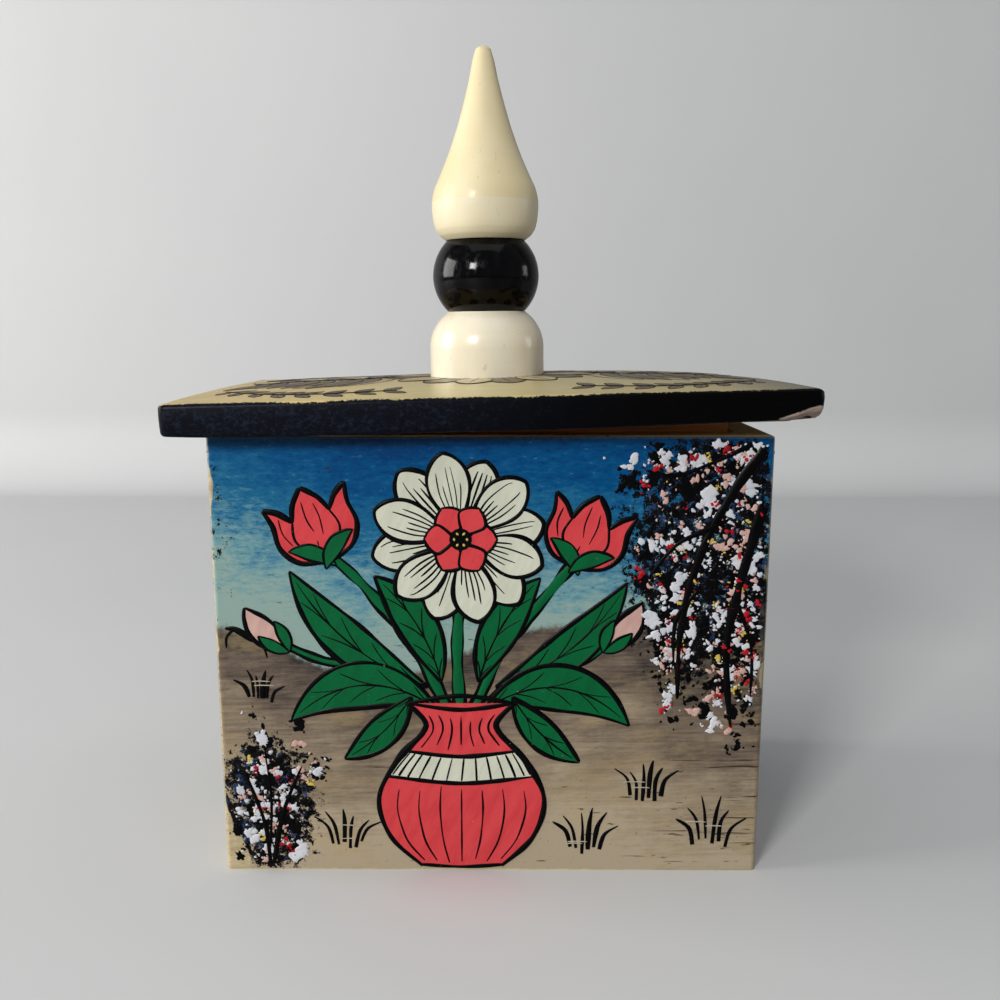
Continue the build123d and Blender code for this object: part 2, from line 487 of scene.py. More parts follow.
def makeLidFinish():
    newFinish("lidFinish")
    onPlate = {"turn": (0, -lid["tilt"], 0), "start": lidOrigin}
    x, y, z = add("SeparateXYZ", {0: placeOn(**onPlate)})
    fine = grain(2.6, 6, 0.8, **onPlate)
    clouds = grain(0.12, 3, stretch=(2.5, 1, 1), **onPlate)
    fibres = grain(0.9, 5, 0.6, stretch=(12, 1, 1), **onPlate)
    # Bare bone of the top, greyer and darker towards the right end as painted shade
    bone = laid(
        (226, 200, 136), ((200, 192, 144), x, -30, 10), ((142, 135, 102), x, -4, 34, 0.75),
        ((196, 172, 116), clouds, 0.36, 0.66, 0.5), ((160, 138, 98), fibres, 0.45, 0.75, 0.22),
        ((98, 94, 80), x, 24, 36, 0.75),
    )
    # The brush went round the edge and strayed over the top in a broken line
    fromEnd = minus(lidHalf.x, sums("ABSOLUTE", x))
    fromLong = minus(lidHalf.y, sums("ABSOLUTE", y))
    depth = times(larger(minus(lid["edgeThickness"], z), 0), rise(z, 0.3, 0.9))
    margin = plus(
        minus(smaller(fromEnd, fromLong), depth), rise(z, 1.5, 0.5, 0, -lid["blackUnder"]),
        sway(fine, 1.8), sway(grain(0.12, **onPlate), 1.2), rise(y, 10, 23, 0, -0.7),
    )
    black = rise(margin, lid["blackMargin"] + 0.08, lid["blackMargin"] - 0.08)
    # The black turns bluish towards the left end as a painted sheen, and bluish specks gather there,
    # partly dust and partly painted sheen
    speckNoise = grain(2.2, 6, 0.85, stretch=(1.4, 1, 1), **onPlate)
    sheenAndDust = rise(x, 20, -16)
    specks = times(rise(times(sheenAndDust, 0.08, speckNoise), 0.56, 0.7), times(sheenAndDust, 0.5, 0.1))
    paint = laid((1, 1, 2), ((9, 12, 21), x, 18, -12))
    paint = mixed(specks, paint, (34, 44, 62))
    # The broken corner shows bare bone past a slanted plane
    chipX, chipY, chipZ = lid["chip"]
    past = times(x, 1 / chipX, 1 - lidHalf.x / chipX - lidHalf.y / chipY)
    past = plus(past, times(y, -1 / chipY), times(z, -1 / chipZ), sway(fine, 0.1))
    broken = rise(past, -0.13, -0.06)
    chipped = laid((196, 178, 164), ((150, 130, 118), fibres, 0.3, 0.7))
    shade = mixed(broken, mixed(black, bone, paint), chipped)
    roughness = larger(rise(black, 0, 1, 0.24, 0.34), times(broken, 0.7))
    relief = times(black, 1.5, times(fibres, 0.3, fine))
    return surface(shade, roughness, relief, 0.015, 0.08, 0.01)


# Outline of a rounded oblong as (point, outward direction), walked once round
def oblong(half, rounding, spacing):
    walk = []
    for turn, (signX, signY) in enumerate(((1, 1), (-1, 1), (-1, -1), (1, -1))):
        hub = Vector((signX * (half.x - rounding), signY * (half.y - rounding)))
        for angle in range(0, 91, 15):
            out = toward(radians(90 * turn + angle))
            walk.append((hub + out * rounding, out))
    full = []
    for (point, out), (nextPoint, nextOut) in zip(walk, walk[1:] + walk[:1]):
        steps = max(1, round((nextPoint - point).length / spacing))
        for step in range(steps):
            share = step / steps
            full.append((point.lerp(nextPoint, share), out.lerp(nextOut, share).normalized()))
    return full


# One point of the lid: on this ring, at this place of the outline
def lidPoint(kind, value, point, out):
    rounding, wobble, (chipX, chipY, chipZ) = lid["edgeRounding"], lid["wobble"], lid["chip"]
    wave = noise.noise(Vector((point.x * 0.09, point.y * 0.09, 1.7))) * wobble
    rough = noise.noise(Vector((point.x * 0.6, point.y * 0.6, 4.1))) * wobble * 0.35
    inner = point - out * rounding
    lift, lateness = lid["endTaper"][inner.x > 0]
    low = rounding + lift * abs(inner.x / lidHalf.x) ** lateness
    high = lidTop(inner.x, inner.y) - rounding
    if kind in ("top", "under"):
        spine = lidHalf.x - lidHalf.y
        flat = Vector((max(-spine, min(spine, inner.x)), 0)).lerp(inner, value)
        height = lidTop(flat.x, flat.y) if kind == "top" else 0
    elif kind == "side":
        swell = lid["bulge"] * (1 - (2 * value - 1) ** 2) * abs(out.y)
        flat = point + out * (wave + rough + swell)
        height = high + (low - high) * value
    else:
        flat = inner + out * ((rounding + rough) * cos(value) + wave)
        height = high + rounding * sin(value) if kind == "upper" else low - rounding * sin(value)
    # The ends are filed round: they reach furthest out at the fullest level
    level, fullest, zone = height / (high + rounding), lid["fullestLevel"], lid["endZone"]
    if level > fullest:
        fullness = sqrt(max(0, 1 - ((level - fullest) / (1 - fullest)) ** 2))
    else:
        fullness = 1 - 0.65 * (1 - level / fullest)
    nearEnd = max(0, (abs(flat.x) - lidHalf.x + zone) / zone)
    reach = lid["endSwell"][flat.x > 0] * min(1, nearEnd)
    flat.x += (1 if flat.x > 0 else -1) * reach * fullness
    # The broken corner: what would lie past the slanted face is drawn back to it
    past = 1 - (lidHalf.x - flat.x) / chipX - (lidHalf.y + flat.y) / chipY - height / chipZ
    past += 0.1 * noise.noise(Vector((flat.x, flat.y, height)) * 2.2)
    if past > 0:
        slant = Vector((1 / chipX, -1 / chipY, -1 / chipZ))
        back = slant * (past / slant.length_squared)
        flat = Vector((flat.x - back.x, flat.y - back.y))
        height -= back.z
    return onLid(flat.x, flat.y, height)


def makeLidPlate():
    outline = oblong(lidHalf, lid["cornerRounding"], lid["spacing"])
    # Rings from the middle of the top, over the edge, to the middle of the underside
    edgeAngles = [radians(angle) for angle in range(90, -1, -15)]
    rings = [("top", (step / lid["ringsOnTop"]) ** 0.75) for step in range(1, lid["ringsOnTop"])]
    for kind, values in (
        ("upper", edgeAngles), ("side", (0.25, 0.5, 0.75)), ("lower", edgeAngles[::-1]),
        ("under", (0.9, 0.6, 0.3)),
    ):
        rings += [(kind, value) for value in values]
    points = [lidPoint(*ring, *place) for ring in rings for place in outline]
    size = len(outline)
    faces = joined(len(rings), size, flip=True)
    for loop in (list(range(size)), list(range(len(points) - 1, len(points) - size - 1, -1))):
        flatLoop = [[Vector((points[index].x, points[index].y, 0)) for index in loop]]
        faces += [tuple(loop[index] for index in face) for face in tessellate_polygon(flatLoop)]
    plate = makePiece("lidPlate", points, faces, makeLidFinish(), "lid")
    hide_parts("lid_plate")


makeLidPlate()
print("lid shaped")


# Finial: sizes in millimetres up its own axis, from where it meets the lid
finial = {
    "offset": -0.5,
    "lean": 0.6,  # degrees, to the left
    "sunk": 0.5,  # how far the foot goes into the lid's swelling top
    "foot": {"radius": 7.4, "straight": 3.35, "neck": 5.2, "height": 8.15},
    "bead": {"end": 5.1, "middle": 6.8, "height": 8.95},
    "spire": {
        "shoulder": (
            (5.25, 0.12), (5.85, 0.6), (6.33, 1.3), (6.58, 2.1), (6.7, 2.9), (6.78, 3.8), (6.78, 4.65),
        ),
        "cone": (
            (6.78, 4.65), (6.63, 5.65), (6.33, 6.6), (5.86, 7.6), (4.62, 10.45), (3.58, 13.3),
            (2.72, 16.15), (1.94, 19.05), (1.32, 21.9), (1.02, 22.85),
        ),
        "height": 23.45,
    },
    "softEdge": 0.18,
    "core": 0.6,  # radius of the small disc that closes each end
    "crispAngle": 6.5,  # a turn of the outline sharper than this shows as a line
    "sides": 128,
}
finialFoot = onLid(finial["offset"], 0, lid["edgeThickness"] + lid["crown"])
finialTurn = Matrix.Rotation(-radians(finial["lean"]), 3, "Y")
curveStep = 0.35   # millimetres between points along a curve


# Smooth line through the given spots, in even steps
def curve(spots):
    spots = [Vector(spot) for spot in spots]
    last = len(spots) - 1
    walk = []
    for index in range(last):
        here, after = spots[index], spots[index + 1]
        before, beyond = spots[max(index - 1, 0)], spots[min(index + 2, last)]
        steps = max(2, ceil((after - here).length / curveStep))
        for step in range(steps):
            t = step / steps
            walk.append(0.5 * (
                2 * here + (after - before) * t + (2 * before - 5 * here + 4 * after - beyond) * t ** 2
                + (3 * here - before - 3 * after + beyond) * t ** 3
            ))
    return walk + [spots[-1]]


# Points on the round arc through three points, walked anticlockwise
def arc(start, middle, end, steps=24):
    start, middle, end = (Vector(point) for point in (start, middle, end))
    first, second = middle - start, end - start
    fromStart = first.orthogonal() * second.length_squared - second.orthogonal() * first.length_squared
    centre = start + fromStart / (2 * first.cross(second))
    low, high = (atan2(spot.y - centre.y, spot.x - centre.x) for spot in (start, end))
    return [
        centre + toward(low + (high - low) * step / steps) * (start - centre).length
        for step in range(steps + 1)
    ]


# A turned piece from its half outline, listed from the bottom of the axis to the top
def turned(name, outline, base, finish, replaced):
    sides = finial["sides"]
    points = []
    for radius, height in outline:
        for side in range(sides):
            angle = 2 * pi * side / sides
            uneven = 1 + 0.004 * noise.noise(Vector((cos(angle), sin(angle), (base + height) * 0.2)))
            at = Vector((radius * uneven * cos(angle), radius * uneven * sin(angle), base + height))
            points.append(finialFoot + finialTurn @ at)
    faces = joined(len(outline), sides)
    faces.append(tuple(reversed(range(sides))))
    faces.append(tuple(range(len(points) - sides, len(points))))
    piece = makePiece(name, points, faces, finish, "lid")
    piece.data.set_sharp_from_angle(angle=radians(finial["crispAngle"]))
    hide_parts(replaced)


def makeFinial():
    foot, bead, spire = finial["foot"], finial["bead"], finial["spire"]
    soft, core = finial["softEdge"], finial["core"]
    fall = foot["radius"] - foot["neck"]
    climb = foot["height"] - foot["straight"]
    bend = (fall ** 2 + climb ** 2) / (2 * fall)
    hub = foot["radius"] - bend
    half = atan2(climb, foot["neck"] - hub) / 2
    outline = [(core, -finial["sunk"]), (foot["radius"], -finial["sunk"])]
    outline += [(foot["radius"], foot["straight"] * step / 6) for step in range(6)]
    outline += arc(
        (foot["radius"], foot["straight"]),
        (hub + bend * cos(half), foot["straight"] + bend * sin(half)),
        (foot["neck"], foot["height"] - soft),
    )
    outline += [(foot["neck"] - soft, foot["height"]), (core, foot["height"])]
    footBone = makeTurnedBone("footBone", (246, 238, 216), (238, 226, 199), 0, 0.45, 0.18)
    turned("finialFootBead", outline, 0, footBone, "finial_foot_bead")
    base, end, height = foot["height"], bead["end"], bead["height"]
    outline = [(core, 0), (end - soft, 0)]
    outline += arc((end, soft), (bead["middle"], height / 2), (end, height - soft), 40)
    outline += [(end - soft, height), (core, height)]
    turned("finialBlackBead", outline, base, makeBlackBone(), "finial_black_bead")
    base += height
    outline = [(core, 0), (spire["shoulder"][0][0] - soft, 0)]
    outline += curve(spire["shoulder"]) + curve(spire["cone"])[1:]
    tipRadius, tipHeight = spire["cone"][-1]
    for angle in range(15, 90, 15):
        out = toward(radians(angle))
        outline.append((tipRadius * out.x, tipHeight + (spire["height"] - tipHeight) * out.y))
    arrisHeight = (finialFoot + finialTurn @ Vector((0, 0, base + spire["cone"][0][1]))).z
    spireBone = makeTurnedBone("spireBone", (240, 229, 192), (233, 216, 172), arrisHeight, 0.2, 0.34)
    turned("finialSpire", outline, base, spireBone, "finial_spire")


makeFinial()
print("finial turned")


# Painting: each coat of colour is a thin closed skin on its face of the box.
# A face is seen from outside, with u to the right, v up and h outward, in millimetres.
faceOf = {
    "Front": lambda u, v, h: Vector((u, -halfDepth - h, v)),
    "Back": lambda u, v, h: Vector((-u, halfDepth + h, v)),
    "Left": lambda u, v, h: Vector((-halfWidth - h, -u, v)),
    "Right": lambda u, v, h: Vector((halfWidth + h, u, v)),
    "Lid": lambda u, v, h: onLid(u, v, lidTop(u, v) + h),
}
faceReach = {"Front": halfWidth, "Back": halfWidth, "Left": halfDepth, "Right": halfDepth}
coatLook = {
    "keyDepth": 0.03,  # how far a coat reaches into its panel
    "layer": 0.013,  # height of each layer of paint
    "edgeMargin": 0.75,  # bare strip that dabs leave along the panel's edges
    "lift": 0.0016,  # fills in one layer lie this much apart, so that none coincide
}
ink = {"outline": 0.66, "vein": 0.26, "fine": 0.17, "grass": 0.6, "sepal": 0.36}
fillOrder = count()
coats = {}
easel = {}  # the face that is being painted, and the dice for what the hand leaves to chance


def turnTo(face, seed):
    easel.update(face=face, dice=random.Random(seed))


def between(low, high):
    return easel["dice"].uniform(low, high)


# The coat's points, its smooth faces and its flat faces, and how to place a point on the face
def coatOf(colour):
    face = easel["face"]
    return *coats.setdefault((face, colour), ([], [], [])), faceOf[face]


def sideways(walk):
    neighbours = zip(walk[:1] + walk[:-1], walk[1:] + walk[-1:])
    return [(after - before).normalized().orthogonal() for before, after in neighbours]


# A brush stroke: thin at its ends, a little uneven, and higher along its middle
def addStroke(spots, width, start=0.25, end=0.1, layer=2, swell=0.25, colour="black"):
    walk = curve(spots)
    points, faces, flat, place = coatOf(colour)
    base, height = len(points), coatLook["layer"] * (layer + 1)
    low, shoulder = -coatLook["keyDepth"], height - coatLook["layer"] * 0.3
    for index, (spot, side) in enumerate(zip(walk, sideways(walk))):
        share = index / (len(walk) - 1)
        full = width
        if share < swell:
            full *= start + (1 - start) * sqrt(share / swell)
        if share > 1 - swell:
            full *= end + (1 - end) * sqrt((1 - share) / swell)
        uneven = 1 + 0.5 * noise.noise(Vector((spot.x * 0.35, spot.y * 0.35, width * 9)))
        half = max(0.04, full * uneven / 2)
        for across, up in ((-1, low), (-0.85, shoulder), (0, height), (0.85, shoulder), (1, low)):
            at = spot + side * (half * across)
            points.append(place(at.x, at.y, up))
    last = base + 5 * (len(walk) - 1)
    faces += joined(len(walk), 5, base, flip=True)
    faces += [tuple(range(base, base + 5)), tuple(range(last + 4, last - 1, -1))]


# A filled shape from its outline, cut into triangles so that hollow shapes stay whole
def addFill(colour, outline, layer):
    area = sum(a.x * b.y - b.x * a.y for a, b in zip(outline, outline[1:] + outline[:1]))
    if area < 0:
        outline = outline[::-1]
    points, faces, flat, place = coatOf(colour)
    base, size = len(points), len(outline)
    lift = coatLook["lift"] * (next(fillOrder) % 7)
    for up in (-coatLook["keyDepth"] - lift, coatLook["layer"] * (layer + 1) + lift):
        points += [place(spot.x, spot.y, up) for spot in outline]
    flat += joined(2, size, base)
    for corners in tessellate_polygon([[Vector((spot.x, spot.y, 0)) for spot in outline]]):
        a, b, c = (outline[index] for index in corners)
        if (b - a).cross(c - a) < 0:
            corners = corners[::-1]
        flat.append(tuple(base + size + index for index in corners))
        flat.append(tuple(base + index for index in reversed(corners)))


# A dab from a frayed brush or sponge: a lumpy low mound
def addDab(colour, centre, radius, layer, lumps=0.5):
    margin = coatLook["edgeMargin"] + radius * 0.6
    if abs(centre.x) > faceReach[easel["face"]] - margin:
        return
    if not margin < centre.y < rimHeight - margin * 0.8:
        return
    points, faces, flat, place = coatOf(colour)
    sides = 7 if radius < 0.24 else 10 if radius < 0.5 else 16
    base, height = len(points), coatLook["layer"] * (layer + 1 + easel["dice"].random())
    seed, stretch, turn = between(0, 99), between(0.7, 1.3), between(0, pi)
    rims = []
    for side in range(sides):
        angle = 2 * pi * side / sides
        around = Vector((cos(angle), sin(angle), seed))
        lump = 1 + lumps * (1.1 * noise.noise(around * 1.4) + 1.3 * noise.noise(around * 3.4))
        spot = Vector((cos(angle) * stretch, sin(angle) / stretch)) * radius * lump
        rims.append(Matrix.Rotation(turn, 2) @ spot)
    rings = ((1, -coatLook["keyDepth"]), (0.85, height * 0.7), (0.5, height))[:2 if sides == 7 else 3]
    for share, up in rings:
        for rim in rims:
            at = centre + rim * share
            points.append(place(at.x, at.y, up))
    points.append(place(centre.x, centre.y, height))
    last = base + (len(rings) - 1) * sides
    faces += joined(len(rings), sides, base)
    faces += [(last + side, last + (side + 1) % sides, last + sides) for side in range(sides)]
    faces.append(tuple(reversed(range(base, base + sides))))


def thinned(walk, keep=3):
    return walk[:-1:keep] + [walk[-1]]


# Fills a pointed leaf or petal between two spots, and gives back its spine and its two edges
def addShape(colour, layer, root, tip, bend, width, fullness=0.9, blunt=0):
    root, tip = Vector(root), Vector(tip)
    along = tip - root
    side = along.orthogonal().normalized()
    steps = max(16, round(along.length / curveStep))
    spine, left, right = [], [], []
    for step in range(steps + 1):
        t = (1 - cos(pi * step / steps)) / 2
        spot = root + along * t + side * (bend * 4 * t * (1 - t))
        lean = (along + side * (bend * 4 * (1 - 2 * t))).normalized()
        across = lean.orthogonal() * (width / 2 * max(0, sin(pi * t ** (1 + blunt))) ** fullness)
        spine.append(spot)
        left.append(spot + across)
        right.append(spot - across)
    addFill(colour, left + right[-2:0:-1], layer)
    return spine, left, right


def addLeaf(root, tip, bend, width, colour="green", layer=1, veins=4, blunt=0, line=ink["outline"]):
    spine, left, right = addShape(colour, layer, root, tip, bend, width, blunt=blunt)
    addStroke(thinned(left), line, 0.5, 0.25, layer + 1)
    addStroke(thinned(right), line * 0.8, 0.5, 0.25, layer + 1)
    if not veins:
        return
    last = len(spine) - 1
    addStroke(thinned(spine[:int(last * 0.86)]), ink["vein"], 1, 0.1, layer + 1)
    for vein in range(veins):
        start = int(last * (0.14 + 0.6 * vein / veins))
        reach = min(last, start + int(last * 0.16))
        for edge in (left, right):
            foot = spine[start]
            head = spine[reach].lerp(edge[reach], 0.72)
            belly = foot.lerp(head, 0.5) + (spine[reach] - head) * 0.12
            addStroke([foot, belly, head], ink["fine"], 1, 0.1, layer + 1)


# A stem: a dark line with a green one inside it
def addStem(spots, width=1.1):
    addStroke(spots, width + 0.75, 0.9, 0.8, 0)
    addStroke(spots, width, 0.9, 0.8, 1, colour="green")


# A tulip in three petals, drawn about its own foot
tulip = {
    "edges": (  # the cup, the notch and half the crown, from the foot up
        ((-0.02, 0), (-0.42, 0.12), (-0.62, 0.42), (-0.6, 0.78), (-0.66, 1.06)),
        ((-0.66, 1.06), (-0.46, 0.94), (-0.3, 0.74)),
        ((-0.3, 0.74), (-0.2, 0.98), (0, 1.2)),
    ),
    "fold": ((-0.3, 0.74), (-0.36, 0.46), (-0.2, 0.16)),
    "pleats": (
        ((-0.48, 0.86), (-0.5, 0.62), (-0.42, 0.4)), ((-0.06, 1), (-0.08, 0.72), (-0.04, 0.5)),
        ((0.1, 0.92), (0.12, 0.7), (0.08, 0.42)), ((-0.02, 0.12), (-0.06, 0.24), (-0.04, 0.36)),
    ),
    "sepal": ((0.08, -0.1), (-0.52, 0.34)),
}


def addTulip(foot, size, lean, colour="coral", layer=4):
    turn = Matrix.Rotation(radians(-lean), 2)

    def put(spots, mirror=1):
        return [Vector(foot) + turn @ Vector((spot[0] * mirror, spot[1])) * size for spot in spots]

    def edge(mirror):
        return [spot for part in tulip["edges"] for spot in curve(put(part, mirror))[:-1]]

    addFill(colour, edge(1) + put(tulip["edges"][-1])[-1:] + edge(-1)[:0:-1], layer)
    for mirror in (1, -1):
        for part in tulip["edges"]:
            addStroke(put(part, mirror), ink["outline"], 0.6, 0.5, layer + 1)
        addStroke(put(tulip["fold"], mirror), ink["vein"] * 1.3, 0.9, 0.2, layer + 1)
    for pleat in tulip["pleats"]:
        addStroke(put(pleat), ink["fine"] * 1.2, layer=layer + 1)
    for mirror, above in ((1, layer + 2), (-1, layer + 4)):
        root, tip = put(tulip["sepal"], mirror)
        addLeaf(root, tip, -0.09 * size * mirror, 0.25 * size, layer=above, veins=0, line=ink["sepal"])


# A round flower of striped petals, with a small dark-centred one inside it
def addFlower(centre, radius, petals, colour, heart, layer):
    centre = Vector(centre)
    for petal in (*range(0, petals, 2), *range(1, petals, 2)):
        over = layer + 2 * (petal % 2)
        out = toward(2 * pi * petal / petals + 0.2)
        foot, tip = centre + out * radius * 0.12, centre + out * (radius * between(0.93, 1.05))
        bend, width = between(-0.25, 0.25), radius * 2 * pi / petals * 0.92
        spine, left, right = addShape(colour, over, foot, tip, bend, width, 0.62, 0.45)
        walk = thinned(left, 2) + thinned(right, 2)[-2::-1]
        addStroke(walk, ink["outline"] * 0.85, 0.6, 0.6, over + 1)
        last = len(spine) - 1
        for stripe in (-0.55, -0.28, 0, 0.28, 0.55):
            edge = left if stripe > 0 else right
            stop = int(last * between(0.55, 0.84))
            walk = [spine[k].lerp(edge[k], abs(stripe)) for k in range(int(last * 0.3), stop)]
            addStroke(thinned(walk, 5), ink["fine"] * 1.3, 1, 0.2, over + 1)
    for petal in range(6):
        out = toward(2 * pi * petal / 6)
        foot, tip = centre + out * radius * 0.05, centre + out * radius * 0.42
        above = layer + 4 + 2 * (petal % 2)
        addLeaf(foot, tip, 0, radius * 0.34, heart, above, 0, 0.35, ink["outline"] * 0.7)
    disc = [centre + toward(radians(angle)) * radius * 0.13 for angle in range(0, 360, 20)]
    addFill("black", disc, layer + 8)
    for dot in range(6):
        addDab("yellow", centre + toward(radians(60 * dot)) * radius * 0.075, 0.24, layer + 10, 0.1)


# Tufts of grass: brush strokes that start thick at the ground and flick outward
def addTufts(tufts, blades=6):
    for foot, size in tufts:
        foot = Vector(foot)
        for blade in range(blades):
            share = blade / (blades - 1) * 2 - 1
            height = size * (1.05 - 0.4 * abs(share)) * between(0.75, 1.1)
            start = foot + Vector((share * size * 0.34, between(-0.1, 0.12) * size))
            head = start + Vector((share * size * 0.42 + between(-0.1, 0.1) * size, height))
            belly = start.lerp(head, 0.55) + Vector((-share * size * 0.12, 0.05 * size))
            addStroke([start, belly, head], ink["grass"] * between(0.7, 1.15), 0.8, 0.05, swell=0.6)
        for scratch in range(2):
            level = foot.y + size * between(0.15, 0.75)
            left = foot.x + size * between(-0.5, 0)
            spots = [(left, level), (left + 0.9, level + 0.05), (left + between(1.6, 2.6), level)]
            addStroke(spots, 0.13, layer=4, colour="scratch")


# Ink along the hill's crest on the front, with bare twigs hanging from it
def addCrest(start, stop):
    across = [start + (stop - start) * k / 6 for k in range(7)]
    walk = [(u, crestAt(u, -halfDepth) + between(-0.3, 0.3)) for u in across]
    addStroke(walk, ink["outline"] * 1.2, 0.2, 0.2)
    for spot in walk[1:6:2]:
        for side in (-1, 1):
            tip = Vector(spot) + Vector((side * between(0.8, 1.8), between(-2.6, 1.6)))
            belly = Vector(spot).lerp(tip, 0.5) + Vector((side * 0.4, 0.2))
            addStroke([spot, belly, tip], ink["vein"] * 1.3, 1, 0.1)


# Blossom: frayed dabs scattered along a twig, dark ones under pale ones
blossomLook = {
    "black": (8, 0.35, 1.15, 1.9, 3),  # dabs at each spot, least and greatest radius, spread, layer
    "snow": (2.5, 0.3, 1.2, 1.5, 5),
    "pink": (1.4, 0.3, 0.8, 1.4, 6),
    "red": (1, 0.25, 0.6, 1.2, 8),
    "yellow": (0.45, 0.25, 0.5, 1.3, 7),
}
blossomSpacing = 2.6


def scatter(spread):
    return Vector((easel["dice"].gauss(0, spread), easel["dice"].gauss(0, spread)))


def addBlossom(spots, plenty):
    chance = easel["dice"].random
    every = round(blossomSpacing / curveStep)
    for spot in curve(spots)[every // 2::every]:
        for colour, (many, least, greatest, spread, layer) in blossomLook.items():
            wanted = many * plenty
            for dab in range(int(wanted) + (chance() < wanted - int(wanted))):
                centre = spot + scatter(spread)
                radius = least + (greatest - least) * chance() ** 1.6
                # A sponge leaves a few lumps that run together, and crumbs round them
                for share, size in ((0.55, 0.62), (1.3, 0.26)):
                    for part in range(3):
                        lump = centre + scatter(radius * share)
                        addDab(colour, lump, max(0.1, radius * size * between(0.6, 1.2)), layer)


# The blossom first, and then the twigs over it
def addTwigs(twigs, width=1.3, plenty=1):
    for spots in twigs:
        addBlossom(spots, plenty)
    for order, spots in enumerate(twigs):
        addStroke(spots, width * (1 if order < 2 else 0.55), 0.9, 0.15, 8, 0.8)


# The jar that holds the flowers
jar = {
    "profile": ((0.6, 4.8), (4.4, 8.6), (9.4, 9.9), (14.2, 7.6), (17.6, 4.6), (19.2, 4.3), (21.4, 6.3)),
    "band": (12.2, 15.6),
    "sag": -0.9,
    "rings": ((21.4, 0.9), (21.4, -0.8), (0.75, -0.3)),  # height and sag, round mouth and foot
    "ribs": (-0.78, -0.52, -0.26, 0, 0.26, 0.52, 0.78),
    "stripes": 15,
    "layer": 7,
}


def addJar(middle):
    side = curve([(radius, height) for height, radius in jar["profile"]])
    (low, high), sag, layer = jar["band"], jar["sag"], jar["layer"]

    def radiusAt(height):
        return min(side, key=lambda spot: abs(spot.y - height)).x

    right = [Vector((middle + spot.x, spot.y)) for spot in side]
    left = [Vector((middle - spot.x, spot.y)) for spot in side]
    addFill("coral", right + left[::-1], layer)
    bandRight = [spot for spot in right if low <= spot.y <= high]
    bandLeft = [spot for spot in left if low <= spot.y <= high]
    over = curve([bandRight[-1], (middle, high + sag), bandLeft[-1]])
    under = curve([bandLeft[0], (middle, low + sag), bandRight[0]])
    addFill("white", bandRight + over[1:-1] + bandLeft[::-1] + under[1:-1], layer + 1)
    for edge in (right, left):
        addStroke(thinned(edge), ink["outline"] * 1.15, 0.7, 0.7, layer + 3)
    for walk in (over, under):
        addStroke(thinned(walk), ink["outline"] * 0.9, 0.7, 0.5, layer + 3)
    for height, drop in jar["rings"]:
        reach = radiusAt(height)
        spots = [(middle - reach, height), (middle, height + drop), (middle + reach, height)]
        addStroke(spots, ink["outline"] * 0.8, 0.7, 0.5, layer + 3)
    for rib in jar["ribs"]:
        for start, stop in ((1.3, low - 0.8), (high + 0.3, 20.3)):
            start += between(0, 0.8)
            stop -= between(0, 0.9)
            heights = [start + (stop - start) * k / 4 for k in range(5)]
            spots = [(middle + rib * radiusAt(at), at - 0.4 * (1 - rib * rib)) for at in heights]
            addStroke(spots, ink["vein"], 0.5, 0.2, layer + 2)
    for stripe in range(jar["stripes"]):
        share = sin(pi / 2 * (2 * (stripe + 0.5) / jar["stripes"] - 1))
        spots = [
            (middle + share * radiusAt(at) + (at - low) * 0.1, at + sag * (1 - share * share))
            for at in (low + 0.3, (low + high) / 2, high - 0.2)
        ]
        addStroke(spots, ink["vein"] * between(0.9, 1.5), 0.8, 0.4, layer + 2)


